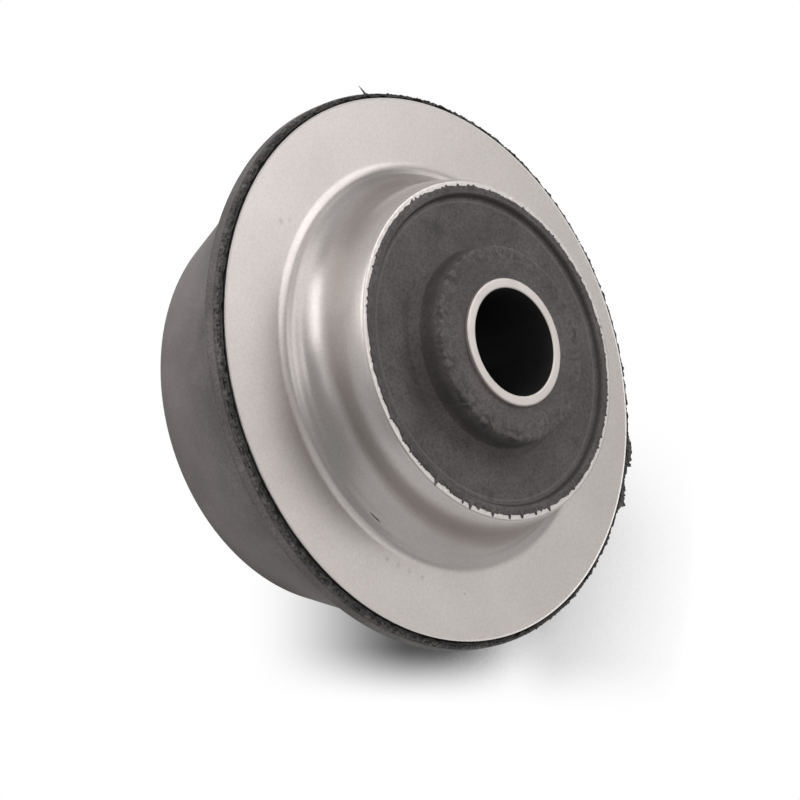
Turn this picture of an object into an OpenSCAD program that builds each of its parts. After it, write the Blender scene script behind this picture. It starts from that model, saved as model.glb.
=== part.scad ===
// Bonded engine mount. Three pieces are moulded into one assembly: a pressed steel flange
// plate with a drawn collar, a rubber element and a steel inner sleeve for the bolt.
// The rubber cone behind the flange carries the load. It wraps the rim of the plate, fills
// the collar and ends in a boss round the sleeve.
// Every piece is turned about the Z axis. The mount stands on the rear end of its cone with
// the collar up, and the origin is the centre of that rear end. Lengths are millimetres.

/* [Inner sleeve] */
// Bore for the bolt, as a diameter
sleeve_bore_d = 21; // [16:0.5:26]
// Wall of the sleeve tube
sleeve_wall = 2; // [1.5:0.25:3.5]
// Length of the sleeve, which is the clamped length of the mount
sleeve_len = 57; // [55:0.5:70]
// Length of the sleeve that stands out of the rubber boss
sleeve_proud = 0.8; // [0.2:0.1:2]
// Chamfer on the edges of both ends of the sleeve
sleeve_chamfer = 0.3; // [0.1:0.1:0.6]

/* [Flange plate] */
// Outer diameter of the steel plate
plate_d = 108; // [100:1:130]
// Thickness of the sheet
plate_t = 2.5; // [2:0.25:3.5]
// Height of the front face of the flange above the rear end of the mount
flange_z = 35.7; // [25:0.1:38]

/* [Drawn collar] */
// Outer diameter of the collar at its lip
lip_d = 66.6; // [60:0.2:72]
// Height of the lip above the front face of the flange
collar_h = 14.9; // [11:0.1:17]
// Draft of the collar wall, in degrees
collar_draft = 9; // [3:0.5:12]
// Radius of the concave bend at the foot of the collar
foot_r = 5; // [3:0.25:6]
// Break on the outer edge of the sheared lip
lip_break = 0.35; // [0.1:0.05:0.8]
// Height of the draw rings that the die leaves in the foot
draw_ring_h = 0.3; // [0.1:0.05:0.5]

/* [Rubber rim] */
// Rubber round the edge of the plate
rim_wall = 1.3; // [0.8:0.1:2.5]
// Rubber behind the plate at the rim
rim_lap = 2.1; // [1:0.1:4]
// Distance that the front of the rim stays behind the face of the flange
rim_setback = 0.2; // [0.1:0.05:0.6]
// Round on the rear edge of the rim
rim_edge_r = 0.8; // [0.3:0.1:1.2]

/* [Rubber cone] */
// Step from the rim in to the side of the cone
cone_step = 3.1; // [2.5:0.1:8]
// Diameter of the cone at the rear end
cone_rear_d = 80.8; // [64:0.2:90]
// Round on the rear edge of the cone
cone_edge_r = 1.5; // [0.5:0.1:3]
// Fillet between the cone and the rim
cone_fillet_r = 1; // [0.4:0.1:1.5]

/* [Rubber front] */
// Width of the bare steel left round the lip
lip_bare_w = 1.1; // [0.5:0.1:1.5]
// Thickness of the rubber that laps over the lip
lip_skin = 0.3; // [0.2:0.05:0.8]
// Depth of the recess inside the lip
recess_depth = 1.1; // [0.8:0.1:3]
// Draft of the recess wall, as a difference of radius
recess_draft = 0.8; // [0.2:0.1:1.5]
// Fillet at the outer edge of the recess floor
recess_fillet_r = 0.4; // [0.2:0.1:0.6]
// Rubber round the sleeve at the top of the boss
boss_wall = 6.6; // [4:0.1:9]
// Draft of the boss wall, as a difference of radius
boss_draft = 0.5; // [0.2:0.1:1]
// Width and height of the sloping step at the foot of the boss
boss_step = 1.45; // [0.5:0.05:2]
// Round on the top edge of the boss
boss_edge_r = 0.6; // [0.3:0.1:1]

/* [Hidden] */
$fn = 144;

// Radii of the sleeve and the plate
bore_r = sleeve_bore_d / 2;
sleeve_r = bore_r + sleeve_wall;
plate_r = plate_d / 2;
lip_r = lip_d / 2;

// The collar wall leans outward from the lip to the foot. wall_n is its outward normal.
wall_n = [cos(collar_draft), sin(collar_draft)];
lip_z = flange_z + collar_h;
lip_inner_r = lip_r - plate_t / wall_n[0];
// Centre of the foot bend, which touches both the flange and the line of the wall
foot_cz = flange_z + foot_r;
foot_cr = lip_r + (foot_r + (lip_z - foot_cz) * wall_n[1]) / wall_n[0];
foot_c = [foot_cr, foot_cz];
// Draw rings are low beads at these shares of the bend's width, counted from the flange
draw_ring_r = 0.8;
draw_ring_at = [0.12, 0.42];

// Heights and radii of the rubber
rim_r = plate_r + rim_wall;
rim_rear_z = flange_z - plate_t - rim_lap;
cone_front_r = rim_r - cone_step;
cone_rear_r = cone_rear_d / 2;
lap_r = lip_r - lip_bare_w;
ring_z = lip_z + lip_skin;
floor_z = ring_z - recess_depth;
floor_r = lip_inner_r - recess_draft;
boss_z = sleeve_len - sleeve_proud;
boss_top_r = sleeve_r + boss_wall;
boss_foot_r = boss_top_r + boss_draft;

// A corner p between two edges that leave it in the directions u and v, rounded to radius r:
// the centre of the round, and the points where it leaves the two edges
function unit(v) = v / norm(v);
function round_centre(p, u, v, r) = p + unit(unit(u) + unit(v)) * 2 * r / norm(unit(u) - unit(v));
function round_reach(u, v, r) = r * norm(unit(u) + unit(v)) / norm(unit(u) - unit(v));
function round_start(p, u, v, r) = p + unit(u) * round_reach(u, v, r);
function round_end(p, u, v, r) = p + unit(v) * round_reach(u, v, r);

// What a round takes off an outer corner
module outer_round(p, u, v, r) {
  beyond = p - unit(unit(u) + unit(v)) * r;
  centre = round_centre(p, u, v, r);
  difference() {
    polygon([beyond, round_start(p, u, v, r), centre, round_end(p, u, v, r)]);
    translate(centre) circle(r = r);
  }
}

// Everything behind a surface that lies at one depth under the front of the pressed sheet
module behind_sheet(depth, reach) {
  difference() {
    polygon([
      [0, 0],
      [reach, 0],
      [reach, flange_z - depth],
      [foot_cr, flange_z - depth],
      foot_c,
      foot_c - (foot_r + depth) * wall_n,
      [lip_r - depth / wall_n[0], lip_z],
      [0, lip_z]
    ]);
    translate(foot_c) circle(r = foot_r + depth);
  }
}

// Low bead on the front of the sheet, at a radius within the foot bend
module draw_ring(r) {
  z = foot_cz - sqrt(pow(foot_r, 2) - pow(foot_cr - r, 2));
  translate([r, z + draw_ring_h - draw_ring_r]) circle(r = draw_ring_r);
}

// Section of the pressed plate: flat flange, foot bend, leaning wall and sheared lip
module plate_section() {
  difference() {
    union() {
      intersection() {
        behind_sheet(0, plate_r);
        translate([0, flange_z - plate_t]) square([plate_r, plate_t + collar_h]);
      }
      for (share = draw_ring_at)
        draw_ring(foot_cr - share * foot_r);
    }
    behind_sheet(plate_t, rim_r);
    polygon([
      [lip_r - lip_break, lip_z],
      [lip_r, lip_z],
      [lip_r, lip_z] + lip_break * [wall_n[1], -wall_n[0]]
    ]);
  }
}

// Section of the load cone, the rim and the core of the collar. Its upper side runs inside
// the sheet, at the depth of the rim's setback.
module rear_section() {
  cone_foot = [cone_rear_r, 0];
  cone_head = [cone_front_r, rim_rear_z];
  cone_side = cone_foot - cone_head;
  rim_edge = [rim_r, rim_rear_z];
  fillet_c = round_centre(cone_head, cone_side, [1, 0], cone_fillet_r);
  difference() {
    intersection() {
      polygon([
        [sleeve_r, 0],
        cone_foot,
        round_start(cone_head, cone_side, [1, 0], cone_fillet_r),
        fillet_c,
        round_end(cone_head, cone_side, [1, 0], cone_fillet_r),
        rim_edge,
        [rim_r, floor_z],
        [sleeve_r, floor_z]
      ]);
      behind_sheet(rim_setback, rim_r);
    }
    translate(fillet_c) circle(r = cone_fillet_r);
    outer_round(cone_foot, [-1, 0], -cone_side, cone_edge_r);
    outer_round(rim_edge, [-1, 0], [0, 1], rim_edge_r);
  }
}

// Section of the rubber that fills the collar: lap over the lip, recess and boss
module front_section() {
  boss_edge = [boss_top_r, boss_z];
  boss_foot = [boss_foot_r, floor_z + boss_step];
  recess_foot = [floor_r, floor_z];
  recess_side = [lip_inner_r, ring_z] - recess_foot;
  fillet_c = round_centre(recess_foot, recess_side, [-1, 0], recess_fillet_r);
  difference() {
    polygon([
      [sleeve_r, flange_z],
      [lap_r, flange_z],
      [lap_r, ring_z],
      [lip_inner_r, ring_z],
      round_start(recess_foot, recess_side, [-1, 0], recess_fillet_r),
      fillet_c,
      round_end(recess_foot, recess_side, [-1, 0], recess_fillet_r),
      [boss_foot_r + boss_step, floor_z],
      boss_foot,
      boss_edge,
      [sleeve_r, boss_z]
    ]);
    translate(fillet_c) circle(r = recess_fillet_r);
    outer_round(boss_edge, [-1, 0], boss_foot - boss_edge, boss_edge_r);
  }
}

module flange_plate() {
  color([0.80, 0.79, 0.77])
    rotate_extrude() plate_section();
}

module rubber_body() {
  color([0.30, 0.29, 0.29])
    rotate_extrude()
      difference() {
        union() {
          rear_section();
          front_section();
        }
        plate_section();
      }
}

module inner_sleeve() {
  color([0.78, 0.77, 0.75])
    rotate_extrude()
      polygon([
        [bore_r + sleeve_chamfer, 0],
        [sleeve_r - sleeve_chamfer, 0],
        [sleeve_r, sleeve_chamfer],
        [sleeve_r, sleeve_len - sleeve_chamfer],
        [sleeve_r - sleeve_chamfer, sleeve_len],
        [bore_r + sleeve_chamfer, sleeve_len],
        [bore_r, sleeve_len - sleeve_chamfer],
        [bore_r, sleeve_chamfer]
      ]);
}

flange_plate();
rubber_body();
inner_sleeve();
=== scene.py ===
"""Looks of a bonded engine mount: its pieces in detail, their finishes, and a studio round them.

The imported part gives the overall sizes. Each piece is a class that traces its section, turns it
about the mount's axis, works the surface and dresses it. Sections are in millimetres and meshes
in metres. Marks are placed by their angle round the axis, counted anticlockwise from the side
that lies on the right in the photograph.
"""

import logging
import math
import random
from dataclasses import dataclass
from enum import Enum
from typing import Callable, Sequence

import bpy
from mathutils import Matrix, Vector, noise


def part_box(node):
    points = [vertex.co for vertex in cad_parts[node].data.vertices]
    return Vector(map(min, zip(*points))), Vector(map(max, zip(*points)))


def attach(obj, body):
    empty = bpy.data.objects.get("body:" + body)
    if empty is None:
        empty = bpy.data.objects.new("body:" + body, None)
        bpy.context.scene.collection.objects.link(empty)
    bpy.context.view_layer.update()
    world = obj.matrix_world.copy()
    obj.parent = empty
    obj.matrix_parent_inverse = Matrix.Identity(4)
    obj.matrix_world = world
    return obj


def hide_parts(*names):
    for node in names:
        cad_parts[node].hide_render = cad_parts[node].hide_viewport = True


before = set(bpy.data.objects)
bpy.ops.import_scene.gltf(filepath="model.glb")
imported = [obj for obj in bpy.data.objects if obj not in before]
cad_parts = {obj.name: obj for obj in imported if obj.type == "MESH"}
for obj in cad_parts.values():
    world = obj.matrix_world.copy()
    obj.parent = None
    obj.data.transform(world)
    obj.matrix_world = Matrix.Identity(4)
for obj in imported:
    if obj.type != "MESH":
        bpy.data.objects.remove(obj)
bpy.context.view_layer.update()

MM = 0.001
# Points closer than this many millimetres are one
MERGE = 0.002
# Least number of steps on a round
ROUND_STEPS = 4
BODY = "root"
# Angle in the part's own frame of the side that lies on the right in the photograph
PHOTO_RIGHT_DEG = -34.0
# Colour inputs and colour output of Blender's mixing node, by number
MIX_A, MIX_B, MIX_COLOUR = 6, 7, 2

Point = tuple[float, float]
Direction = tuple[float, float, float]
Piece = bpy.types.Object
Material = bpy.types.Material
Tree = bpy.types.NodeTree
Socket = bpy.types.NodeSocket
Settings = dict[str | int, object]
Links = dict[str | int, Socket]
log = logging.getLogger("engine_mount")


class Slot(Enum):
    """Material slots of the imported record."""

    PLATE = "plate_steel"
    RUBBER = "moulded_rubber"
    SLEEVE = "sleeve_steel"


class Grain(Enum):
    """Procedural height patterns that a surface can be worked with."""

    LUMPS = "CLOUDS"
    CRUMBS = "VORONOI"


def bearing(photo_deg: float) -> float:
    """Angle in the part's frame, in radians, of an angle read in the photograph."""
    return math.radians(photo_deg + PHOTO_RIGHT_DEG)


def on_mount(photo_deg: float, radius: float, height: float) -> Vector:
    """Point in metres of a mark, from its photograph angle, and its radius and height in millimetres."""
    angle = bearing(photo_deg)
    return Vector((radius * math.cos(angle), radius * math.sin(angle), height)) * MM


def turned_away(photo_deg: float, co: Vector) -> float:
    """Angle in degrees, from -180 to 180, that a point lies ahead of an angle of the photograph."""
    angle = math.degrees(math.atan2(co.y, co.x) - bearing(photo_deg))
    return (angle + 180.0) % 360.0 - 180.0


def from_axis(co: Vector) -> float:
    """Distance of a point from the mount's axis, in millimetres."""
    return math.hypot(co.x, co.y) / MM


# Sizes of the mount


@dataclass(frozen=True)
class MountSizes:
    """Sizes that several pieces share, in millimetres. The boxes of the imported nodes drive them."""

    plate_r: float
    plate_back_z: float
    lip_z: float
    rim_r: float
    boss_z: float
    sleeve_r: float
    sleeve_len: float
    sheet: float = 2.5
    lip_r: float = 33.3
    draft_deg: float = 9.0
    back_bend_r: float = 8.5
    sleeve_wall: float = 2.0
    rim_lap: float = 2.1
    rim_setback: float = 0.2
    parting_drop: float = 1.5
    lap_skin: float = 0.3
    lip_bare: float = 1.1
    recess_depth: float = 1.1

    @classmethod
    def from_frame(cls) -> "MountSizes":
        """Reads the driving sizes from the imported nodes."""
        plate_lo, plate_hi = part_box("flange_plate")
        _, rubber_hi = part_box("rubber_body")
        _, sleeve_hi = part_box("inner_sleeve")
        return cls(
            plate_r=plate_hi.x / MM,
            plate_back_z=plate_lo.z / MM,
            lip_z=plate_hi.z / MM,
            rim_r=rubber_hi.x / MM,
            boss_z=rubber_hi.z / MM,
            sleeve_r=sleeve_hi.x / MM,
            sleeve_len=sleeve_hi.z / MM,
        )

    @property
    def flange_z(self) -> float:
        """Height of the front face of the flange."""
        return self.plate_back_z + self.sheet

    @property
    def collar_h(self) -> float:
        """Height of the lip above the front face of the flange."""
        return self.lip_z - self.flange_z

    @property
    def lip_inner_r(self) -> float:
        """Inner radius of the sheet at the lip."""
        return self.lip_r - self.sheet / math.cos(math.radians(self.draft_deg))

    @property
    def rim_rear_z(self) -> float:
        """Height of the rear face of the rubber rim."""
        return self.plate_back_z - self.rim_lap

    @property
    def rim_front_z(self) -> float:
        """Height of the front of the rubber rim."""
        return self.flange_z - self.rim_setback

    @property
    def parting_z(self) -> float:
        """Height of the tool's parting line on the rim."""
        return self.flange_z - self.parting_drop

    @property
    def lap_r(self) -> float:
        """Radius at which the rubber that laps over the lip ends."""
        return self.lip_r - self.lip_bare

    @property
    def lap_z(self) -> float:
        """Height of the front of that lap."""
        return self.lip_z + self.lap_skin

    @property
    def floor_z(self) -> float:
        """Height of the floor of the recess in the collar."""
        return self.lap_z - self.recess_depth

    def back_bend(self) -> "Corner":
        """Corner where the back of the sheet turns up into the collar."""
        lean = math.tan(math.radians(self.draft_deg))
        radius = self.lip_inner_r + (self.lip_z - self.plate_back_z) * lean
        return Corner(radius, self.plate_back_z, self.back_bend_r, arc_pitch=2.0)


# Sections


@dataclass(frozen=True)
class Corner:
    """Corner of a section in millimetres.

    Attributes:
        r: Distance from the axis.
        z: Height.
        radius: Radius of the round on the corner.
        pitch: Spacing of the points along the edge that leaves the corner, or 0 for none.
        arc_pitch: Spacing of the points on the round, or 0 for the section's own.
    """

    r: float
    z: float
    radius: float = 0.0
    pitch: float = 0.0
    arc_pitch: float = 0.0


def rounded(corners: Sequence[Corner], pitch: float = 0.25) -> list[Point]:
    """Points of a closed section with its corners rounded.

    Args:
        corners: The corners in order.
        pitch: Spacing of the points on the rounds, in millimetres, where a corner gives none.

    Returns:
        The section's points as pairs of radius and height.
    """
    rounds: list[list[Point]] = []
    for index, corner in enumerate(corners):
        here = Vector((corner.r, corner.z))
        before, after = corners[index - 1], corners[(index + 1) % len(corners)]
        back = (Vector((before.r, before.z)) - here).normalized()
        ahead = (Vector((after.r, after.z)) - here).normalized()
        if corner.radius == 0.0:
            rounds.append([(corner.r, corner.z)])
            continue
        half = back.angle(ahead) / 2.0
        centre = here + (back + ahead).normalized() * corner.radius / math.sin(half)
        start = here + back * corner.radius / math.tan(half) - centre
        sweep = start.angle_signed(here + ahead * corner.radius / math.tan(half) - centre)
        count = max(ROUND_STEPS, math.ceil(abs(sweep) * corner.radius / (corner.arc_pitch or pitch)))
        turns = [Matrix.Rotation(-sweep * step / count, 2) @ start for step in range(count + 1)]
        rounds.append([tuple(centre + turn) for turn in turns])
    points: list[Point] = []
    for index, corner in enumerate(corners):
        points += rounds[index]
        start, end = Vector(rounds[index][-1]), Vector(rounds[(index + 1) % len(corners)][0])
        count = math.ceil((end - start).length / corner.pitch) if corner.pitch else 1
        points += [tuple(start.lerp(end, step / count)) for step in range(1, count)]
    return points


# Work on meshes


def leave_all() -> None:
    """Deselects every object, so that an operator acts only on the piece in hand."""
    if bpy.context.object and bpy.context.object.mode != "OBJECT":
        bpy.ops.object.mode_set(mode="OBJECT")
    bpy.ops.object.select_all(action="DESELECT")


def take_up(piece: Piece) -> None:
    """Makes one piece the only selected and the active one."""
    leave_all()
    piece.select_set(True)
    bpy.context.view_layer.objects.active = piece


def settle(name: str) -> Piece:
    """Names the new piece and applies its place, turn and scale to its mesh."""
    piece = bpy.context.object
    piece.name = piece.data.name = name
    bpy.ops.object.transform_apply(location=True, rotation=True, scale=True)
    return piece


def in_order() -> None:
    """Sorts the mesh in hand by distance, since the ball's faces come in another order each run."""
    bpy.ops.object.mode_set(mode="EDIT")
    bpy.ops.mesh.select_all(action="SELECT")
    bpy.ops.mesh.sort_elements(type="CURSOR_DISTANCE", elements={"VERT", "EDGE", "FACE"})
    bpy.ops.object.mode_set(mode="OBJECT")


def turn_section(name: str, points: Sequence[Point], steps: int) -> Piece:
    """Traces a closed section by extrusion and turns it about the mount's axis.

    Args:
        name: Name of the new piece.
        points: The section as pairs of radius and height, in millimetres.
        steps: Number of steps in the full turn.

    Returns:
        The piece, with its origin on the part's origin.
    """
    leave_all()
    first = Vector((points[0][0], 0.0, points[0][1])) * MM
    bpy.ops.mesh.primitive_plane_add(size=MM, location=first)
    bpy.ops.object.mode_set(mode="EDIT")
    bpy.ops.mesh.merge(type="CENTER")
    for here, there in zip(points, [*points[1:], points[0]]):
        move = Vector((there[0] - here[0], 0.0, there[1] - here[1])) * MM
        bpy.ops.mesh.extrude_region_move(TRANSFORM_OT_translate={"value": move})
    bpy.ops.mesh.select_all(action="SELECT")
    bpy.ops.mesh.remove_doubles(threshold=MERGE * MM)
    bpy.ops.object.mode_set(mode="OBJECT")
    piece = settle(name)
    lathe = piece.modifiers.new("full turn", "SCREW")
    lathe.steps = lathe.render_steps = steps
    lathe.use_merge_vertices = True
    lathe.merge_threshold = MERGE * MM
    bpy.ops.object.modifier_apply(modifier=lathe.name)
    bpy.ops.object.mode_set(mode="EDIT")
    bpy.ops.mesh.select_all(action="SELECT")
    bpy.ops.mesh.normals_make_consistent(inside=False)
    bpy.ops.object.mode_set(mode="OBJECT")
    return piece


def laid_between(start: Vector, end: Vector, axis: str, up: str) -> dict[str, object]:
    """Place and turn of a primitive whose one axis runs between two points, with another on top."""
    turn = (end - start).to_track_quat(axis, up).to_euler()
    return {"location": (start + end) / 2.0, "rotation": turn}


def push_out(vertex: bpy.types.MeshVertex, distance: float) -> None:
    """Moves a vertex away from the mount's axis by a distance in millimetres."""
    share = 1.0 + distance / from_axis(vertex.co)
    vertex.co.x *= share
    vertex.co.y *= share


def weigh(piece: Piece, name: str, share: Callable[[Vector], float]) -> str:
    """Adds a vertex group whose weights follow a rule.

    Args:
        piece: The piece.
        name: Name of the group.
        share: Gives the weight, from 0 to 1, of a place in the part's frame.

    Returns:
        The group's name.
    """
    group = piece.vertex_groups.new(name=name)
    for vertex in piece.data.vertices:
        weight = share(vertex.co)
        if weight > 0.0:
            group.add([vertex.index], min(1.0, weight), "REPLACE")
    return group.name


@dataclass(frozen=True)
class Working:
    """Procedural height pattern that a surface is worked with, along its normals.

    Attributes:
        grain: Kind of pattern.
        size: Width of one lump in millimetres.
        height: Height of the pattern in millimetres, below zero for pits.
        level: Pattern value that stays where it is.
    """

    grain: Grain
    size: float
    height: float
    level: float = 0.5

    def roughen(self, piece: Piece, group: str) -> None:
        """Works the surface of a piece, as far as a vertex group reaches."""
        pattern = bpy.data.textures.new(f"{piece.name}_{self.grain.name.lower()}", self.grain.value)
        pattern.noise_scale = self.size * MM
        take_up(piece)
        work = piece.modifiers.new("worked surface", "DISPLACE")
        work.texture = pattern
        work.texture_coords = "LOCAL"
        work.strength = self.height * MM
        work.mid_level = self.level
        work.vertex_group = group
        bpy.ops.object.modifier_apply(modifier=work.name)


def dress(
    piece: Piece, materials: Sequence[Material], smooth_deg: float, slot: Slot, *nodes: str
) -> Piece:
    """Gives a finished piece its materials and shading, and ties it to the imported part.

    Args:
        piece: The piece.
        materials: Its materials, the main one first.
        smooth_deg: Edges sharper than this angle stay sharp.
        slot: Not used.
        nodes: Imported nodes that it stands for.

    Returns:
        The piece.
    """
    take_up(piece)
    bpy.ops.object.shade_smooth_by_angle(angle=math.radians(smooth_deg))
    for material in materials:
        piece.data.materials.append(material)
    piece.vertex_groups.clear()
    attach(piece, BODY)
    if nodes:
        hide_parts(*nodes)
    log.info("%s: %d faces", piece.name, len(piece.data.polygons))
    return piece


# Work on materials


def linear(hex_code: str) -> tuple[float, float, float, float]:
    """Colour of an sRGB hex code as linear red, green, blue and alpha."""
    shares = [int(hex_code[at : at + 2], 16) / 255.0 for at in (1, 3, 5)]
    rgb = [s / 12.92 if s <= 0.04045 else ((s + 0.055) / 1.055) ** 2.4 for s in shares]
    return (*rgb, 1.0)


def new_material(name: str) -> Material:
    """Makes an empty node material."""
    material = bpy.data.materials.new(name)
    material.use_nodes = True
    material.node_tree.nodes.clear()
    return material


def add_node(
    tree: Tree, kind: str, settings: Settings | None = None, links: Links | None = None
) -> bpy.types.Node:
    """Adds a node with its settings and links.

    Args:
        tree: The node tree.
        kind: Blender's name for the node.
        settings: Values of input sockets, by name or number, and of the node's own properties.
        links: Output sockets to connect, by the name or number of the input.

    Returns:
        The node.
    """
    node = tree.nodes.new(kind)
    for key, value in (settings or {}).items():
        if isinstance(key, int) or key in node.inputs:
            node.inputs[key].default_value = value
        else:
            setattr(node, key, value)
    for key, source in (links or {}).items():
        tree.links.new(source, node.inputs[key])
    return node


def pattern(tree: Tree, place: Socket, size: float, detail: float) -> Socket:
    """Noise from 0 to 1 whose features are a number of millimetres wide."""
    settings = {"Scale": 1.0 / (size * MM), "Detail": detail}
    return add_node(tree, "ShaderNodeTexNoise", settings, {"Vector": place}).outputs[0]


def ramp(
    tree: Tree, value: Socket, span: Point = (0, 1), low: float = 0, high: float = 1, soft: bool = False
) -> Socket:
    """Goes from low to high while a value runs over its span, and eases in and out if it is soft."""
    settings: Settings = {"interpolation_type": "SMOOTHSTEP" if soft else "LINEAR"}
    settings |= {1: span[0], 2: span[1], 3: low, 4: high}
    return add_node(tree, "ShaderNodeMapRange", settings, {0: value}).outputs[0]


def joined(tree: Tree, operation: str, first: Socket, second: Socket) -> Socket:
    """Joins two values by an operation such as a product."""
    settings = {"operation": operation}
    return add_node(tree, "ShaderNodeMath", settings, {0: first, 1: second}).outputs[0]


def measured(tree: Tree, operation: str, place: Socket, other: Sequence[float]) -> Socket:
    """Measures a place against another one, as a distance or a dot product."""
    settings = {"operation": operation, 1: other}
    return add_node(tree, "ShaderNodeVectorMath", settings, {0: place}).outputs["Value"]


def relief(tree: Tree, heights: Socket, depth: float) -> Socket:
    """Normal of a surface whose fine relief is a number of millimetres deep."""
    settings = {"Strength": 1.0, "Distance": depth * MM}
    return add_node(tree, "ShaderNodeBump", settings, {"Height": heights}).outputs[0]


def laid_over(tree: Tree, base: Socket | str, tone: str, share: Socket) -> Socket:
    """Lays a colour, by its hex code, over a socket's or another code's with a share of strength."""
    settings: Settings = {"data_type": "RGBA", MIX_B: linear(tone)}
    links: Links = {0: share}
    if isinstance(base, str):
        settings[MIX_A] = linear(base)
    else:
        links[MIX_A] = base
    return add_node(tree, "ShaderNodeMix", settings, links).outputs[MIX_COLOUR]


def section_place(tree: Tree, place: Socket) -> Socket:
    """Turns a place on the piece into its radius and height."""
    flatten = {"operation": "MULTIPLY", 1: (1, 1, 0)}
    flat = add_node(tree, "ShaderNodeVectorMath", flatten, {0: place}).outputs[0]
    reach = measured(tree, "DISTANCE", flat, (0, 0, 0))
    height = add_node(tree, "ShaderNodeSeparateXYZ", links={0: place}).outputs["Z"]
    return add_node(tree, "ShaderNodeCombineXYZ", links={0: reach, 1: height}).outputs[0]


# Marks on the surfaces


@dataclass(frozen=True)
class Band:
    """Soft mark that runs all the way round the mount.

    Attributes:
        radius: Distance from the axis in millimetres.
        height: Height in millimetres.
        size: Half the width of the mark in millimetres.
        share: Strength of the mark, from 0 to 1.
    """

    radius: float
    height: float
    size: float
    share: float

    def spot(self) -> Vector:
        """Place of the mark in the mount's section, as radius and height in metres."""
        return Vector((self.radius, self.height, 0.0)) * MM


@dataclass(frozen=True)
class Patch(Band):
    """Soft round mark on a surface, at one angle of the photograph."""

    photo_deg: float

    def spot(self) -> Vector:
        """Place of the mark in metres."""
        return on_mount(self.photo_deg, self.radius, self.height)


def marked(
    tree: Tree, colour: Socket, tone: str, marks: Sequence[Band], place: Socket, ragged: Socket
) -> Socket:
    """Lays a set of soft marks over a colour.

    Args:
        tree: The node tree.
        colour: Socket with the colour underneath.
        tone: Hex code of the marks.
        marks: The marks.
        place: Socket with the place on the piece, or its radius and height for bands.
        ragged: Socket with a pattern from 0 to 1 that breaks the marks up.

    Returns:
        The socket with the colour, the one underneath if there are no marks.
    """
    shares: list[Socket] = []
    for mark in marks:
        away = measured(tree, "DISTANCE", place, mark.spot())
        shares.append(ramp(tree, away, (mark.size * MM, 0.0), high=mark.share, soft=True))
    if not shares:
        return colour
    total = shares[0]
    for share in shares[1:]:
        total = joined(tree, "MAXIMUM", total, share)
    return laid_over(tree, colour, tone, joined(tree, "MULTIPLY", total, ragged))


def patches(height: float, *rows: tuple[float, float, float, float]) -> tuple[Patch, ...]:
    """Marks at one height, each given by its angle, radius, size and share."""
    return tuple(Patch(radius, height, size, share, angle) for angle, radius, size, share in rows)


# Heights of the recess floor, the boss face and the flange face in millimetres
RECESS_Z, BOSS_Z, FLANGE_Z = 49.8, 56.2, 35.7

# Smudges on the floor of the recess, as the photograph shows them
SMUDGES = patches(
    RECESS_Z,
    (122.4, 25.3, 3.2, 0.75), (127.0, 27.0, 2.0, 0.5), (330.7, 27.1, 1.8, 0.6),
    (270.2, 28.7, 1.8, 0.7), (266.5, 28.0, 1.5, 0.6), (292.2, 28.8, 1.3, 0.5),
)

# Pitted places on the face of the boss
PITTED = patches(
    BOSS_Z,
    (205.0, 18.4, 2.6, 0.7), (228.0, 18.2, 3.2, 1.0), (250.0, 18.4, 3.2, 1.0),
    (272.0, 18.6, 3.0, 0.9), (150.0, 18.5, 2.4, 0.7), (175.0, 18.6, 2.4, 0.7),
    (18.0, 18.6, 2.2, 0.6),
)

# Scuffs and stains on the flange
SCUFFS = patches(
    FLANGE_Z,
    (252.0, 42.9, 0.7, 0.5), (256.0, 42.8, 0.9, 0.35), (260.0, 42.9, 0.8, 0.4),
    (264.5, 43.0, 0.7, 0.5), (279.2, 44.8, 0.45, 0.6), (154.0, 45.2, 0.9, 0.55),
    (152.0, 43.6, 0.7, 0.3), (152.0, 42.0, 0.6, 0.25),
)

# Lighter edges of the sheet, the lip and the rim of the flange: bare metal with a painted highlight
# along them
LIT_EDGES = (Band(32.9, 50.6, 1.3, 0.7), Band(54.0, 35.8, 0.5, 0.9))

# Painted shade: the crease behind the rim, the parting step and the rim's rear edge, the recess wall,
# the boss wall and the step at its foot
PAINTED_SHADE_BANDS = (
    Band(52.2, 31.1, 0.8, 1.0), Band(55.3, 34.2, 0.5, 1.0), Band(55.2, 31.5, 1.2, 0.35),
    Band(30.3, 50.4, 0.6, 1.0), Band(20.6, 53.7, 3.6, 1.0), Band(21.3, 51.0, 1.2, 0.35),
)

# Painted light: the cone lightened all round for the light on its side, and a painted highlight line at
# the edge of the recess floor
PAINTED_LIGHT_BANDS = (Band(42.0, 5.0, 26.0, 0.42), Band(29.3, 49.8, 0.35, 0.3))

# Edges where the skin is chipped and pitted
WORN_EDGES = (Band(19.6, 56.2, 1.6, 1.0), Band(17.5, 56.2, 3.0, 0.4), Band(31.6, 50.9, 0.8, 0.5))

# Painted shade in the crevice at the edge of the steel, and the dark crumbled outer side of the torn
# band
CREVICE_PAINTED_SHADE = (Band(54.4, 35.2, 1.1, 1.0),)
TORN_EDGE = (Band(55.0, 35.3, 1.5, 1.0),)


# Finishes


@dataclass(frozen=True)
class Finish:
    """Recipe of one material."""

    name: str

    def surface(self, tree: Tree, place: Socket) -> tuple[Settings, Links]:
        """What the surface is made of.

        Args:
            tree: The node tree.
            place: Socket with the place on the piece.

        Returns:
            Values of the shader's inputs, and the sockets that the others take theirs from.
        """
        raise NotImplementedError

    def material(self) -> Material:
        """Builds the node material."""
        material = new_material(self.name)
        tree = material.node_tree
        place = add_node(tree, "ShaderNodeTexCoord").outputs["Object"]
        shader = add_node(tree, "ShaderNodeBsdfPrincipled", *self.surface(tree, place))
        add_node(tree, "ShaderNodeOutputMaterial", links={"Surface": shader.outputs[0]})
        return material


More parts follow.
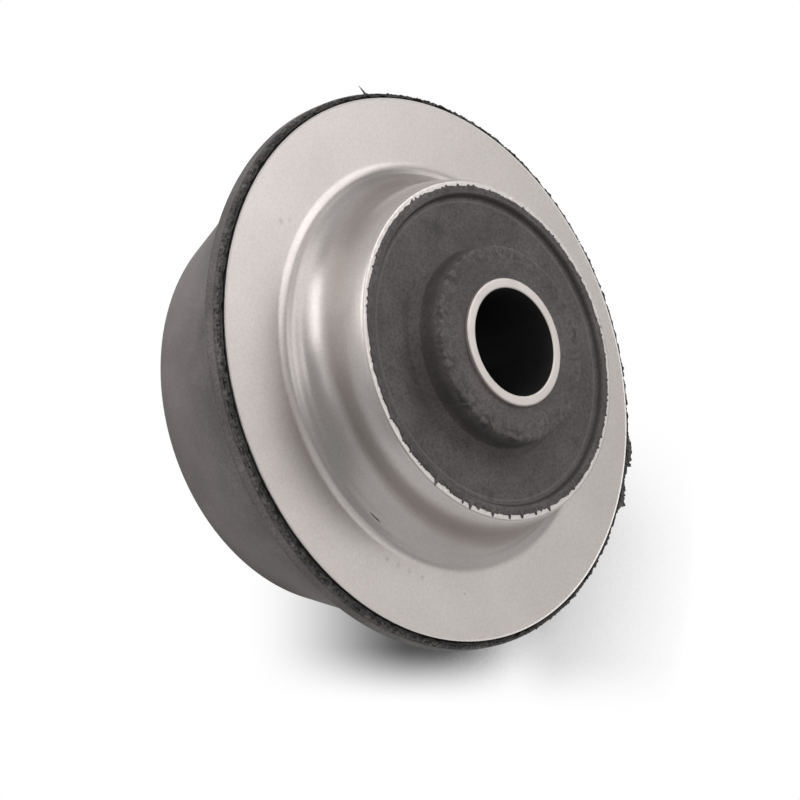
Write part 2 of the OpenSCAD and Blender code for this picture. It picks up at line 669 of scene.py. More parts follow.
@dataclass(frozen=True)
class BlastedSheetSteel(Finish):
    """Low-carbon sheet steel, deep drawn and then blasted with fine grit for bonding.

    The grit leaves a pale, even satin with a fine grain, so the light spreads wide and only the
    bends show a soft streak. The cut edges are lighter, bare metal with a painted highlight along
    them, and handling leaves a few stains.
    """

    name: str = "blasted_sheet_steel"
    pale: str = "#C6C0BD"
    cloud: str = "#C1BBB8"
    stain: str = "#8E8580"
    bare_and_highlit: str = "#D3CECA"
    roughness: float = 0.34
    roughness_spread: float = 0.03
    roughness_span: Point = (0.3, 0.7)
    cloud_size: float = 14.0
    cloud_span: Point = (0.35, 0.7)
    grit: float = 0.45
    grit_height: float = 0.012
    grit_span: Point = (0.35, 0.65)
    grain_spread: float = 0.17
    mark_least: float = 0.75
    bright: tuple[Band, ...] = LIT_EDGES
    marks: tuple[Patch, ...] = SCUFFS

    def surface(self, tree: Tree, place: Socket) -> tuple[Settings, Links]:
        """Pale metal with clouds, grain, edges lightened by a painted highlight, and stains."""
        grit = pattern(tree, place, self.grit, detail=2.0)
        broad = pattern(tree, place, self.cloud_size, detail=3.0)
        colour = laid_over(tree, self.pale, self.cloud, ramp(tree, broad, self.cloud_span))
        grain = ramp(tree, grit, self.grit_span, high=self.grain_spread)
        colour = laid_over(tree, colour, self.stain, grain)
        even = ramp(tree, grit, low=self.mark_least)
        section = section_place(tree, place)
        # Bare metal and a painted highlight along the lip and the rim of the flange
        colour = marked(tree, colour, self.bare_and_highlit, self.bright, section, even)
        colour = marked(tree, colour, self.stain, self.marks, place, even)
        smoothest = self.roughness - self.roughness_spread
        roughest = self.roughness + self.roughness_spread
        rough = ramp(tree, broad, self.roughness_span, smoothest, roughest)
        normal = relief(tree, grit, self.grit_height)
        return {"Metallic": 1.0}, {"Base Color": colour, "Roughness": rough, "Normal": normal}


@dataclass(frozen=True)
class TurnedSteel(Finish):
    """Precision steel tube whose ends are faced in a lathe.

    Facing leaves fine rings on the ends, which draw the light into a slight sheen.
    """

    name: str = "turned_steel"
    pale: str = "#DAD3CE"
    dull: str = "#C4BDB8"
    roughness: float = 0.45
    ring: float = 0.25
    ring_height: float = 0.006
    blotch: float = 5.0

    def surface(self, tree: Tree, place: Socket) -> tuple[Settings, Links]:
        """Pale metal with duller blotches and fine rings."""
        rings = pattern(tree, section_place(tree, place), self.ring, detail=2.0)
        blotch = pattern(tree, place, self.blotch, detail=4.0)
        colour = laid_over(tree, self.pale, self.dull, blotch)
        normal = relief(tree, rings, self.ring_height)
        settings = {"Metallic": 1.0, "Roughness": self.roughness}
        return settings, {"Base Color": colour, "Normal": normal}


@dataclass(frozen=True)
class PaintedShadeBore(Finish):
    """Inside of the drawn tube, painted nearly black as painted shade.

    Little light reaches into the bore, so its shade is painted into the colour, with slightly
    lighter streaks.
    """

    name: str = "bore_painted_shade"
    bore_shade_tone: str = "#1C1B1C"
    # Lighter streaks within the bore's painted shade
    scale: str = "#2B2929"
    roughness: float = 0.5
    streak: float = 3.0

    def surface(self, tree: Tree, place: Socket) -> tuple[Settings, Links]:
        """Painted shade, nearly black, with slightly lighter streaks."""
        streak = pattern(tree, place, self.streak, detail=4.0)
        colour = laid_over(tree, self.bore_shade_tone, self.scale, streak)
        return {"Roughness": self.roughness}, {"Base Color": colour}


@dataclass(frozen=True)
class BlackRubber(Finish):
    """Natural rubber with carbon black, moulded in a blasted steel tool.

    The tool's fine texture makes the skin a semi-matt dark grey. Release agent and bloom leave
    soft lighter and darker clouds, and handling leaves smudges. Painted shade darkens the creases,
    the parting step and the walls of the recess and the boss, and painted light lightens the cone
    and the edge of the recess floor.
    """

    name: str = "moulded_rubber_skin"
    skin: str = "#524B4B"
    bloom: str = "#696261"
    # Tone of the dark flecks, grain, pits and smudges, and of the painted shade
    dark_and_shade_tone: str = "#292526"
    # Tone of the painted light on the cone and of the painted highlight at the recess floor's edge
    painted_light_tone: str = "#8C8584"
    roughness: float = 0.62
    texture: float = 0.5
    texture_height: float = 0.05
    texture_span: Point = (0.35, 0.65)
    grain_spread: float = 0.5
    cloud_size: float = 9.0
    cloud_span: Point = (0.35, 0.68)
    fleck: float = 0.9
    fleck_span: Point = (0.56, 0.72)
    fleck_share: float = 0.35
    pit: float = 1.3
    pit_span: Point = (0.48, 0.54)
    mark_least: float = 0.7
    painted_light: tuple[Band, ...] = PAINTED_LIGHT_BANDS
    # Painted shade in the creases, under the parting step and on the walls of the recess and the boss
    shade_bands: tuple[Band, ...] = PAINTED_SHADE_BANDS
    worn_edges: tuple[Band, ...] = WORN_EDGES
    pitted: tuple[Patch, ...] = PITTED
    marks: tuple[Patch, ...] = SMUDGES

    def surface(self, tree: Tree, place: Socket) -> tuple[Settings, Links]:
        """Dark skin with bloom, flecks and grain, and the marks over them, painted light and shade among
        them.
        """
        fine = pattern(tree, place, self.texture, detail=3.0)
        broad = pattern(tree, place, self.cloud_size, detail=5.0)
        speck = pattern(tree, place, self.fleck, detail=4.0)
        colour = laid_over(tree, self.skin, self.bloom, ramp(tree, broad, self.cloud_span))
        flecks = ramp(tree, speck, self.fleck_span, high=self.fleck_share)
        colour = laid_over(tree, colour, self.dark_and_shade_tone, flecks)
        grain = ramp(tree, fine, self.texture_span, high=self.grain_spread)
        colour = laid_over(tree, colour, self.dark_and_shade_tone, grain)
        whole = ramp(tree, speck, low=self.mark_least)
        pits = ramp(tree, pattern(tree, place, self.pit, detail=5.0), self.pit_span)
        section = section_place(tree, place)
        for tone, marks, where, ragged in (
            # Painted light on the cone and a painted highlight at the edge of the recess floor
            (self.painted_light_tone, self.painted_light, section, whole),
            # Painted shade in the creases, under the parting step and on the recess and boss walls
            (self.dark_and_shade_tone, self.shade_bands, section, whole),
            (self.dark_and_shade_tone, self.worn_edges, section, pits),
            (self.dark_and_shade_tone, self.pitted, place, pits),
            (self.dark_and_shade_tone, self.marks, place, whole),
        ):
            colour = marked(tree, colour, tone, marks, where, ragged)
        normal = relief(tree, fine, self.texture_height)
        return {"Roughness": self.roughness}, {"Base Color": colour, "Normal": normal}


# Rubber torn at the tool's edges, which has no skin: it looks broken open and full of dark crumbs
TORN_RUBBER = BlackRubber(
    name="torn_rubber",
    skin="#5C5656",
    bloom="#756E6D",
    dark_and_shade_tone="#161415",
    texture_height=0.06,
    fleck=0.7,
    fleck_share=0.9,
    pit=0.8,
    painted_light=(),
    # Painted shade in the crevice at the edge of the steel
    shade_bands=CREVICE_PAINTED_SHADE,
    worn_edges=TORN_EDGE,
    pitted=(),
    marks=(),
)


# Pieces


@dataclass
class PressedPlate:
    """Steel flange plate with its drawn collar, one sheet of even thickness."""

    sizes: MountSizes
    finish: BlastedSheetSteel = BlastedSheetSteel()
    steps: int = 600
    smooth_deg: float = 50.0
    burr_height: float = 0.08
    burr_width: float = 0.3
    burr_round: float = 0.04
    burr_foot: float = 0.1
    edge_width: float = 2.0
    lip_break: float = 0.35
    lip_layer: float = 0.02
    lip_grain: Working = Working(Grain.LUMPS, size=0.5, height=0.1)
    bend_r: float = 39.6
    bend_deg: float = 41.0
    low_round: float = 4.5
    high_round: float = 10.0
    crown_height: float = 3.0
    crown_deg: float = 19.0
    crown_round: float = 16.0
    ring_height: float = 0.05
    ring_width: float = 1.3
    ring_at: Point = (38.9, 37.55)
    ring_zone: Point = (-0.01, 6.0)

    def section(self) -> list[Point]:
        """Section of the sheet: draw rings on the foot bend, and a wall that leans in at the lip."""
        s = self.sizes
        rise = math.tan(math.radians(self.bend_deg))
        lean = math.tan(math.radians(s.draft_deg))
        bend_top = (s.collar_h - (self.bend_r - s.lip_r) * rise) / (1.0 - rise * lean)
        crown_r = s.lip_r + self.crown_height * math.tan(math.radians(self.crown_deg))
        corners = [
            Corner(s.plate_r, s.plate_back_z),
            Corner(s.plate_r, s.flange_z + self.burr_height, self.burr_round),
            Corner(s.plate_r - self.burr_width, s.flange_z, self.burr_foot, pitch=0.4),
            Corner(s.plate_r - self.edge_width, s.flange_z, pitch=1.5),
            Corner(self.bend_r, s.flange_z, self.low_round, pitch=0.3),
            Corner(s.lip_r + bend_top * lean, s.lip_z - bend_top, self.high_round, pitch=0.8),
            Corner(crown_r, s.lip_z - self.crown_height, self.crown_round, pitch=0.5),
            Corner(s.lip_r, s.lip_z, self.lip_break, pitch=0.2),
            Corner(s.lip_inner_r, s.lip_z),
            s.back_bend(),
        ]
        return [self.ringed(point) for point in rounded(corners, pitch=0.15)]

    def ringed(self, point: Point) -> Point:
        """Raises a point of the section where a draw ring runs over it."""
        r, z = point
        low, high = self.ring_zone
        if not self.sizes.flange_z + low <= z < self.sizes.flange_z + high:
            return point
        for ring_r in self.ring_at:
            away = abs(r - ring_r) / (self.ring_width / 2.0)
            if away < 1.0:
                z += self.ring_height * (0.5 + 0.5 * math.cos(math.pi * away))
        return (r, z)

    def build(self) -> Piece:
        """Presses the plate and dresses it."""
        piece = turn_section("pressed_plate", self.section(), self.steps)
        cut_z = (self.sizes.lip_z - self.lip_layer) * MM
        lip = weigh(piece, "sheared lip", lambda co: 1.0 if co.z > cut_z else 0.0)
        self.lip_grain.roughen(piece, lip)
        materials = [self.finish.material()]
        return dress(piece, materials, self.smooth_deg, Slot.PLATE, "flange_plate")


@dataclass
class RubberElement:
    """Moulded rubber: load cone, rim, core of the collar, recess and boss."""

    sizes: MountSizes
    skin: Material
    steps: int = 540
    smooth_deg: float = 40.0
    cone_rear_r: float = 40.4
    cone_step: float = 3.1
    cone_edge: float = 1.5
    cone_fillet: float = 1.0
    rim_edge: float = 0.8
    parting_round: float = 0.1
    flash_room: float = 0.3
    crevice_depth: float = 1.0
    seat_gap: float = 0.1
    seat_drop: float = 0.3
    lap_round: float = 0.12
    recess_draft: float = 0.8
    recess_fillet: float = 0.4
    boss_wall: float = 6.6
    boss_draft: float = 0.5
    boss_step: float = 1.45
    boss_edge: float = 0.6
    step_fillet: float = 0.4
    step_round: float = 0.15
    pitting: Working = Working(Grain.CRUMBS, size=0.9, height=-0.25, level=0.25)
    pitted_layer: float = 1.5
    whole_ring: float = 0.3
    least_pitting: float = 0.25
    pitted_from: float = 16.5
    pitted_width: float = 2.6

    def section(self) -> list[Point]:
        """Section of the rubber, with the space of the sheet left out."""
        s = self.sizes
        boss_r = s.sleeve_r + self.boss_wall
        step_r = boss_r + self.boss_draft
        rim_top = s.rim_front_z - self.crevice_depth
        lap_end = s.lap_r - 2.0 * self.flash_room
        corners = [
            Corner(s.sleeve_r, 0.0, pitch=2.0),
            Corner(self.cone_rear_r, 0.0, self.cone_edge, pitch=1.0),
            Corner(s.rim_r - self.cone_step, s.rim_rear_z, self.cone_fillet),
            Corner(s.rim_r, s.rim_rear_z, self.rim_edge),
            Corner(s.rim_r, s.parting_z, self.parting_round),
            Corner(s.rim_r - self.flash_room, s.parting_z),
            Corner(s.rim_r - self.flash_room, rim_top),
            Corner(s.plate_r + self.seat_gap, rim_top),
            Corner(s.plate_r, rim_top - self.seat_drop),
            Corner(s.plate_r, s.plate_back_z),
            s.back_bend(),
            Corner(s.lip_inner_r, s.lip_z),
            Corner(lap_end, s.lip_z),
            Corner(lap_end, s.lap_z),
            Corner(s.lip_inner_r, s.lap_z, self.lap_round),
            Corner(s.lip_inner_r - self.recess_draft, s.floor_z, self.recess_fillet, pitch=0.7),
            Corner(step_r + self.boss_step, s.floor_z, self.step_fillet),
            Corner(step_r, s.floor_z + self.boss_step, self.step_round, pitch=0.5),
            Corner(boss_r, s.boss_z, self.boss_edge, pitch=0.25),
            Corner(s.sleeve_r, s.boss_z),
        ]
        return rounded(corners, pitch=0.2)

    def boss_weight(self, co: Vector) -> float:
        """Share of the pitting at a place on the boss, strongest at its edge."""
        s = self.sizes
        reach = from_axis(co)
        if co.z < (s.boss_z - self.pitted_layer) * MM or reach < s.sleeve_r + self.whole_ring:
            return 0.0
        outward = max(0.0, (reach - self.pitted_from) / self.pitted_width)
        return self.least_pitting + (1.0 - self.least_pitting) * outward

    def build(self) -> Piece:
        """Moulds the rubber and dresses it."""
        piece = turn_section("rubber_element", self.section(), self.steps)
        self.pitting.roughen(piece, weigh(piece, "boss", self.boss_weight))
        return dress(piece, [self.skin], self.smooth_deg, Slot.RUBBER, "rubber_body")


@dataclass(frozen=True)
class Tear:
    """Tooth of torn flash.

    Attributes:
        photo_deg: Angle round the axis, as read in the photograph.
        reach: How far it stands out, in millimetres, below zero for a bite.
        width: Its width along the edge, in millimetres.
    """

    photo_deg: float
    reach: float
    width: float


def torn_reach(co: Vector, radius: float, tears: Sequence[Tear]) -> float:
    """How far the torn edge stands out at a place.

    Args:
        co: The place in the part's frame.
        radius: Radius of the edge in millimetres.
        tears: The teeth and bites.

    Returns:
        The reach in millimetres: the tallest tooth there and the deepest bite together.
    """
    tall = deep = 0.0
    for tear in tears:
        along = abs(math.radians(turned_away(tear.photo_deg, co))) * radius
        here = tear.reach * (1.0 - along / (tear.width / 2.0))
        if along < tear.width / 2.0:
            tall, deep = max(tall, here), min(deep, here)
    return tall + deep


def along_outline(co: Vector, outline: Sequence[Point]) -> float:
    """Reads an outline, given as photograph angles with a reach each, at a place.

    Args:
        co: The place in the part's frame.
        outline: Pairs of angle and reach, by rising angle.

    Returns:
        The reach in millimetres, or zero beyond the outline's ends.
    """
    ahead = turned_away(outline[0][0], co) % 360.0
    for (start, low), (end, high) in zip(outline, outline[1:]):
        first, last = start - outline[0][0], end - outline[0][0]
        if first <= ahead < last:
            return low + (high - low) * (ahead - first) / (last - first)
    return 0.0


# Large teeth and bites of the flash on the lip: angle, reach and width
LIP_TEARS = (
    Tear(216.0, 0.5, 0.8), Tear(221.0, -0.25, 3.2), Tear(229.0, 0.6, 0.6),
    Tear(235.0, 0.45, 0.6), Tear(238.8, -0.25, 2.6), Tear(243.0, 1.5, 0.8),
    Tear(247.5, -0.3, 3.4), Tear(256.0, 0.9, 0.7), Tear(259.5, 1.1, 0.9),
    Tear(265.0, -0.25, 2.8), Tear(270.0, 0.8, 0.6), Tear(278.0, 0.9, 0.5),
    Tear(284.0, 0.8, 0.6), Tear(291.0, 0.7, 0.5), Tear(298.0, 0.8, 0.6),
)

# Outline of the lumps that stand out of the rim: angle and reach
RIM_LUMPS = (
    (338.0, 0.0), (339.6, 0.3), (340.4, 0.5), (340.7, 1.3), (341.6, 1.15),
    (343.2, 1.0), (344.8, 0.75), (346.1, 0.1), (347.4, 0.25), (348.6, 0.5),
    (350.0, 0.55), (350.3, 1.45), (350.9, 1.0), (351.2, 0.9), (351.5, 1.5),
    (352.6, 1.35), (354.4, 1.25), (355.6, 0.7), (356.6, 0.35), (358.0, 0.0),
)


@dataclass
class LipFlash:
    """Thin torn flash where the rubber laps over the lip of the collar."""

    sizes: MountSizes
    skin: Material
    steps: int = 1440
    smooth_deg: float = 40.0
    width: float = 0.6
    edge_skin: float = 0.12
    edge_slope: Point = (0.15, 0.03)
    loose: float = 0.3
    wander: float = 0.24
    wander_size: float = 1.6
    saw: float = 0.22
    saw_size: float = 0.45
    small_count: int = 70
    small_reach: Point = (0.1, 0.45)
    small_width: Point = (0.3, 0.8)
    seed: int = 5
    tears: tuple[Tear, ...] = LIP_TEARS

    def section(self) -> list[Point]:
        """Section of the flash: a thin wedge on top of the lip."""
        s = self.sizes
        inner = s.lap_r - self.width
        inward, down = self.edge_slope
        corners = [
            Corner(inner, s.lip_z),
            Corner(s.lap_r, s.lip_z),
            Corner(s.lap_r, s.lip_z + self.edge_skin),
            Corner(s.lap_r - inward, s.lap_z - down),
            Corner(inner, s.lap_z),
        ]
        return rounded(corners)

    def small_tears(self) -> list[Tear]:
        """Fine teeth all round the edge, always drawn in the same way."""
        draw = random.Random(self.seed).uniform
        return [
            Tear(draw(0.0, 360.0), draw(*self.small_reach), draw(*self.small_width))
            for _ in range(self.small_count)
        ]

    def tear_edge(self, piece: Piece) -> None:
        """Draws the outer edge out into teeth."""
        edge_r = self.sizes.lap_r
        tears = [*self.tears, *self.small_tears()]
        for vertex in piece.data.vertices:
            if from_axis(vertex.co) < edge_r - self.loose:
                continue
            drift = self.wander * noise.noise(vertex.co / (self.wander_size * MM))
            drift += self.saw * max(0.0, noise.noise(vertex.co / (self.saw_size * MM)))
            push_out(vertex, drift + torn_reach(vertex.co, edge_r, tears))

    def build(self) -> Piece:
        """Tears the flash and dresses it."""
        piece = turn_section("lip_flash", self.section(), self.steps)
        self.tear_edge(piece)
        return dress(piece, [self.skin], self.smooth_deg, Slot.RUBBER)


@dataclass
class RimFlash:
    """Rough torn flash on the front of the rim, between the parting line and the steel."""

    sizes: MountSizes
    skin: Material
    steps: int = 2160
    smooth_deg: float = 60.0
    pitch: float = 0.15
    shell: float = 0.6
    skirt: Point = (0.1, 0.05)
    front_round: float = 0.45
    mouth_round: float = 0.15
    crevice: float = 0.3
    crevice_depth: float = 1.05
    crevice_wander: float = 0.7
    crevice_size: float = 1.5
    torn_height: float = 0.15
    torn_start: float = 0.05
    torn_width: float = 0.3
    workings: tuple[Working, ...] = (
        Working(Grain.LUMPS, size=1.1, height=-0.9, level=0.25),
        Working(Grain.CRUMBS, size=0.5, height=-0.3, level=0.2),
    )
    lumps: tuple[Point, ...] = RIM_LUMPS
    lump_zone: Point = (0.7, 1.1)
    ragged: float = 0.25
    ragged_size: float = 0.6

    def section(self) -> list[Point]:
        """Section of the band, a shell that covers the front of the rim."""
        s = self.sizes
        inner, outer = self.skirt
        corners = [
            Corner(s.rim_r - self.shell, s.parting_z - inner),
            Corner(s.rim_r, s.parting_z - outer, pitch=self.pitch),
            Corner(s.rim_r, s.rim_front_z, self.front_round, pitch=self.pitch),
            Corner(s.plate_r + self.crevice, s.rim_front_z, self.mouth_round, pitch=self.pitch),
            Corner(s.plate_r + self.crevice, s.rim_front_z - self.crevice_depth),
            Corner(s.rim_r - self.shell, s.rim_front_z - self.crevice_depth),
        ]
        return rounded(corners, pitch=0.12)

    def torn(self, co: Vector) -> float:
        """Share of the roughness at a place: none at the parting line and inside the crevice."""
        s = self.sizes
        above = (co.z / MM - s.flange_z + s.parting_drop) / self.torn_height
        outside = (from_axis(co) - s.plate_r - self.crevice - self.torn_start) / self.torn_width
        return max(0.0, min(1.0, above, outside))

    def pull_lumps(self, piece: Piece) -> None:
        """Closes the crevice unevenly, and pulls out the ragged lumps that the tool left."""
        s = self.sizes
        inward, down = self.lump_zone
        for vertex in piece.data.vertices:
            reach = from_axis(vertex.co)
            share = max(0.0, (s.rim_r - reach) / (s.rim_r - s.plate_r - self.crevice))
            wander = max(0.0, noise.noise(vertex.co / (self.crevice_size * MM)))
            pull = share * self.crevice_wander * wander
            if reach > s.rim_r - inward and vertex.co.z > (s.flange_z - down) * MM:
                uneven = self.ragged * noise.noise(vertex.co / (self.ragged_size * MM))
                pull += along_outline(vertex.co, self.lumps) * (1.0 + uneven)
            push_out(vertex, pull)

    def build(self) -> Piece:
        """Tears the band and dresses it."""
        piece = turn_section("rim_flash", self.section(), self.steps)
        band = weigh(piece, "torn band", self.torn)
        self.pull_lumps(piece)
        for working in self.workings:
            working.roughen(piece, band)
        return dress(piece, [self.skin], self.smooth_deg, Slot.RUBBER)


@dataclass
class Nick:
    """Sliver of dark flash caught in the inner draw ring of the collar's foot.

    It is a ball one unit across, stretched to the sliver's length, width and thickness.
    """

    sizes: MountSizes
    skin: Material
    from_deg: float = 240.2
    to_deg: float = 244.7
    radius: float = 38.05
    drift: float = 0.1
    lift: float = 1.4
    width: float = 0.36
    thickness: float = 0.1
    smooth_deg: float = 60.0

    def build(self) -> Piece:
        """Lays the sliver in place and dresses it."""
        height = self.sizes.flange_z + self.lift
        start = on_mount(self.from_deg, self.radius, height)
        end = on_mount(self.to_deg, self.radius + self.drift, height)
        leave_all()
        bpy.ops.mesh.primitive_uv_sphere_add(
            segments=24,
            ring_count=12,
            radius=0.5,
            scale=((end - start).length, self.width * MM, self.thickness * MM),
            **laid_between(start, end, "X", "Z"),
        )
        piece = settle("nick")
        in_order()
        return dress(piece, [self.skin], self.smooth_deg, Slot.RUBBER)


@dataclass
class RimWhisker:
    """Thin whisker of rubber left by a vent of the tool, on the edge of the rim."""

    sizes: MountSizes
    skin: Material
    photo_deg: float = 109.6
    lean_deg: float = 1.3
    root: float = 0.4
    drop: float = 0.7
    length: float = 1.9
    thickness: float = 0.24
    taper: float = 4.0
    smooth_deg: float = 60.0

    def build(self) -> Piece:
        """Draws out the whisker and dresses it."""
        radius, height = self.sizes.rim_r - self.root, self.sizes.flange_z - self.drop
        foot = on_mount(self.photo_deg, radius, height)
        tip = on_mount(self.photo_deg + self.lean_deg, radius + self.length, height)
        leave_all()
        bpy.ops.mesh.primitive_cone_add(
            vertices=16,
            radius1=self.thickness * MM,
            radius2=self.thickness * MM / self.taper,
            depth=(tip - foot).length,
            **laid_between(foot, tip, "Z", "Y"),
        )
        return dress(settle("rim_whisker"), [self.skin], self.smooth_deg, Slot.RUBBER)


@dataclass
class BoltSleeve:
    """Steel tube that the bolt passes through, faced at both ends."""

    sizes: MountSizes
    finish: TurnedSteel = TurnedSteel()
    # The bore's material is painted shade
    inside: PaintedShadeBore = PaintedShadeBore()
    steps: int = 240
    smooth_deg: float = 40.0
    chamfer: float = 0.3
    bore_play: float = 0.05

    @property
    def bore_r(self) -> float:
        """Radius of the bore."""
        return self.sizes.sleeve_r - self.sizes.sleeve_wall

    def section(self) -> list[Point]:
        """Section of the tube wall, with broken edges."""
        s = self.sizes
        corners = [
            Corner(self.bore_r, 0.0, self.chamfer),
            Corner(s.sleeve_r, 0.0, self.chamfer, pitch=3.0),
            Corner(s.sleeve_r, s.sleeve_len, self.chamfer, pitch=0.25),
            Corner(self.bore_r, s.sleeve_len, self.chamfer, pitch=3.0),
        ]
        return rounded(corners, pitch=0.1)

    def build(self) -> Piece:
        """Turns the sleeve and dresses it, with the bore in a nearly black painted shade."""
        piece = turn_section("bolt_sleeve", self.section(), self.steps)
        materials = [self.finish.material(), self.inside.material()]
        dress(piece, materials, self.smooth_deg, Slot.SLEEVE, "inner_sleeve")
        for face in piece.data.polygons:
            if from_axis(face.center) < self.bore_r + self.bore_play:
                face.material_index = 1
        return piece


# Studio


# The photograph's right, its table's upward direction and the side of the viewer, in the part's frame
PHOTO_RIGHT = Vector((0.6037, -0.4071, 0.6855))
TABLE_UP = Vector((0.1427, 0.9011, 0.4095))
TO_VIEWER = Vector((-0.7844, -0.1493, 0.6021))

# Directions over the floor, as the photograph shows them
FLOOR_RIGHT = (0.829, -0.559, 0.0)
FLOOR_DOWN = (-0.559, -0.829, 0.0)
FLOOR_UP_RIGHT = (0.476, 0.885, 0.0)


@dataclass(frozen=True)
class Softbox:
    """Square soft lamp of the light tent, placed as seen in the photograph.

    Attributes:
        name: Name of the lamp.
        elevation_deg: Height above the table, as an angle at the mount.
        azimuth_deg: Direction over the table, from the right towards the viewer.
        power: Power in watts.
        distance: Distance from the mount in metres.
        size: Side of the lamp in metres.
    """

    name: str
    elevation_deg: float
    azimuth_deg: float
    power: float
    distance: float = 1.0
    size: float = 0.6

    def hang(self, target: Vector) -> None:
        """Hangs the lamp, turned to the mount, or laid flat and facing up if it is below it.

        Args:
            target: Place that the lamp is aimed at, in metres.
        """
        lamp = bpy.data.lights.new(self.name, "AREA")
        lamp.shape = "SQUARE"
        lamp.size = self.size
        lamp.energy = self.power
        holder = bpy.data.objects.new(self.name, lamp)
        bpy.context.scene.collection.objects.link(holder)
        elevation, azimuth = math.radians(self.elevation_deg), math.radians(self.azimuth_deg)
        level = PHOTO_RIGHT * math.cos(azimuth) + TO_VIEWER * math.sin(azimuth)
        towards = (level * math.cos(elevation) + TABLE_UP * math.sin(elevation)).normalized()
        holder.location = target + towards * self.distance
        back = -TABLE_UP if self.elevation_deg < 0.0 else towards
        holder.rotation_euler = back.to_track_quat("Z", "Y").to_euler()
        holder.visible_camera = False


@dataclass(frozen=True)
class Edge:
    """Place where the backlight washes a shadow out.

    Attributes:
        towards: Direction over the floor.
        start: Distance along it at which the shadow begins, in millimetres.
        end: Distance at which it is full.
    """

    towards: Direction
    start: float
    end: float


@dataclass(frozen=True)
class Shade:
    """Shadow of the mount on the floor.

    Attributes:
        reach: How far from the mount it reaches, in millimetres.
        open_share: Share of open sky over the floor at which it begins.
        covered_share: Share of open sky at which it is full.
        depth: Share of the light that it takes where it is full.
        edges: Where the backlight washes it out.
        samples: Number of looks at the sky from each place.
    """

    reach: float
    open_share: float
    covered_share: float
    depth: float
    edges: tuple[Edge, ...]
    samples: int = 16

    def share(self, tree: Tree, place: Socket) -> Socket:
        """Share of the light that the shadow takes at a place on the floor.

        Args:
            tree: The floor's node tree.
            place: Socket with the place on the floor.

        Returns:
            The socket with the share.
        """
        settings = {"Distance": self.reach * MM, "samples": self.samples}
        sky = add_node(tree, "ShaderNodeAmbientOcclusion", settings).outputs["AO"]
        dark = ramp(tree, sky, (self.open_share, self.covered_share), high=self.depth, soft=True)
        for edge in self.edges:
            along = measured(tree, "DOT_PRODUCT", place, edge.towards)
            within = ramp(tree, along, (edge.start * MM, edge.end * MM), soft=True)
            dark = joined(tree, "MULTIPLY", dark, within)
        return dark


# Dark shadow close to the mount, and the faint one further out
CONTACT_SHADE = Shade(
    reach=40.0,
    open_share=0.94,
    covered_share=0.66,
    depth=0.92,
    edges=(
        Edge(FLOOR_RIGHT, -18.0, 28.0),
        Edge(FLOOR_UP_RIGHT, -61.0, -48.5),
        Edge(FLOOR_DOWN, 0.0, 25.0),
    ),
)
FAINT_SHADE = Shade(
    reach=70.0,
    open_share=0.965,
    covered_share=0.9,
    depth=0.36,
    edges=(
        Edge(FLOOR_RIGHT, 53.0, 70.0),
        Edge(FLOOR_UP_RIGHT, -61.0, -47.5),
        Edge(FLOOR_DOWN, -20.0, 15.0),
    ),
)

# Lamps: name, elevation, azimuth and power
LAMPS = (
    Softbox("left_high_back", 42.0, 200.0, 3.1),
    Softbox("left_high", 42.0, 160.0, 3.7),
    Softbox("left_front_low", 12.0, 150.0, 1.0),
    Softbox("back_left", 12.0, 240.0, 1.5),
    Softbox("back_right", 12.0, 300.0, 2.03),
    Softbox("right_high", 42.0, 0.0, 2.4),
    Softbox("front_high", 42.0, 80.0, 1.2),
    Softbox("top_front", 72.0, 110.0, 1.1),
    Softbox("top_back", 72.0, 290.0, 0.3),
    Softbox("right_low", 12.0, 0.0, 0.75),
    Softbox("top_right", 72.0, 20.0, 0.3),
    Softbox("right_front_low", 12.0, 30.0, 0.46),
    Softbox("table_left", -8.3, 180.0, 1.8, distance=0.354, size=0.4),
    Softbox("table_under", -90.0, 0.0, 0.034, distance=0.051, size=0.2),
)


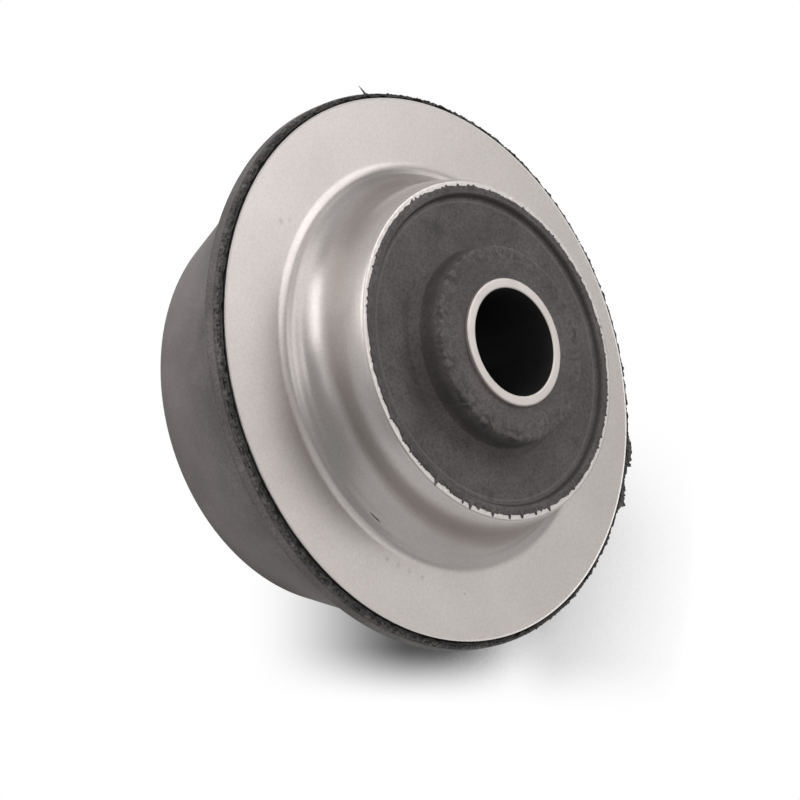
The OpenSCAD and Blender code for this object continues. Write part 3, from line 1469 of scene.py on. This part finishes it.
@dataclass
class Studio:
    """Pale floor, soft lamps and the camera at the photograph's view."""

    azimuth_deg: float = 169.76
    elevation_deg: float = 44.19
    roll_deg: float = 72.95
    distance: float = 593.64
    target: Direction = (-13.23, -1.84, 35.7)
    focal_length: float = 139.6
    clip_start: float = 0.01
    floor_size: float = 8.0
    paper: str = "#E7E7E7"
    white: str = "#FFFFFF"
    shades: tuple[Shade, ...] = (CONTACT_SHADE, FAINT_SHADE)
    sky: float = 0.325
    lamps: tuple[Softbox, ...] = LAMPS
    lamps_aim: Direction = (0.0, 0.0, 30.0)

    def place_camera(self) -> None:
        """Sets the camera where the photograph was taken from, rolled as it is."""
        azimuth, elevation = math.radians(self.azimuth_deg), math.radians(self.elevation_deg)
        level = Vector((math.cos(azimuth), math.sin(azimuth), 0.0))
        back = level * math.cos(elevation) + Vector((0.0, 0.0, math.sin(elevation)))
        upright = back.to_track_quat("Z", "Y").to_matrix()
        turn = upright @ Matrix.Rotation(math.radians(self.roll_deg), 3, "Z")
        lens = bpy.data.cameras.new("photo_camera")
        lens.lens = self.focal_length
        lens.clip_start = self.clip_start
        camera = bpy.data.objects.new("photo_camera", lens)
        bpy.context.scene.collection.objects.link(camera)
        place = (Vector(self.target) + back * self.distance) * MM
        camera.matrix_world = Matrix.Translation(place) @ turn.to_4x4()
        bpy.context.scene.camera = camera

    def lay_floor(self) -> None:
        """Lays a white sweep, backlit so that it shows white, that still takes the mount's shadow."""
        leave_all()
        bpy.ops.mesh.primitive_plane_add(size=self.floor_size, location=(0, 0, 0))
        floor = bpy.context.object
        floor.name = "studio_floor"
        floor.visible_shadow = False
        material = new_material("white_sweep")
        tree = material.node_tree
        place = add_node(tree, "ShaderNodeTexCoord").outputs["Object"]
        light = add_node(tree, "ShaderNodeValue").outputs[0]
        light.default_value = 1.0
        for shade in self.shades:
            light = joined(tree, "SUBTRACT", light, shade.share(tree, place))
        lit = add_node(tree, "ShaderNodeEmission", links={"Strength": light}).outputs[0]
        paper = add_node(tree, "ShaderNodeBsdfDiffuse", {"Color": linear(self.paper)}).outputs[0]
        seen = add_node(tree, "ShaderNodeLightPath").outputs["Is Camera Ray"]
        cover = add_node(tree, "ShaderNodeMixShader", links={0: seen, 1: paper, 2: lit})
        add_node(tree, "ShaderNodeOutputMaterial", links={"Surface": cover.outputs[0]})
        floor.data.materials.append(material)

    def light_world(self) -> None:
        """Fills the room with an even sky, which the camera sees as white."""
        world = bpy.data.worlds.new("studio_room")
        bpy.context.scene.world = world
        world.use_nodes = True
        tree = world.node_tree
        tree.nodes.clear()
        seen = add_node(tree, "ShaderNodeLightPath").outputs["Is Camera Ray"]
        links = {"Strength": ramp(tree, seen, low=self.sky)}
        sky = add_node(tree, "ShaderNodeBackground", {"Color": linear(self.white)}, links)
        add_node(tree, "ShaderNodeOutputWorld", links={"Surface": sky.outputs[0]})

    def build(self) -> None:
        """Sets up the camera, the floor and the light."""
        bpy.context.scene.view_settings.view_transform = "Standard"
        self.place_camera()
        self.lay_floor()
        self.light_world()
        for lamp in self.lamps:
            lamp.hang(Vector(self.lamps_aim) * MM)


def main() -> None:
    """Builds the mount's pieces in order, then the studio."""
    logging.basicConfig(level=logging.INFO, format="%(name)s: %(message)s")
    sizes = MountSizes.from_frame()
    PressedPlate(sizes).build()
    skin, torn = BlackRubber().material(), TORN_RUBBER.material()
    RubberElement(sizes, skin).build()
    LipFlash(sizes, skin).build()
    RimFlash(sizes, torn).build()
    RimWhisker(sizes, skin).build()
    Nick(sizes, torn).build()
    BoltSleeve(sizes).build()
    Studio().build()


if __name__ == "__main__":
    main()
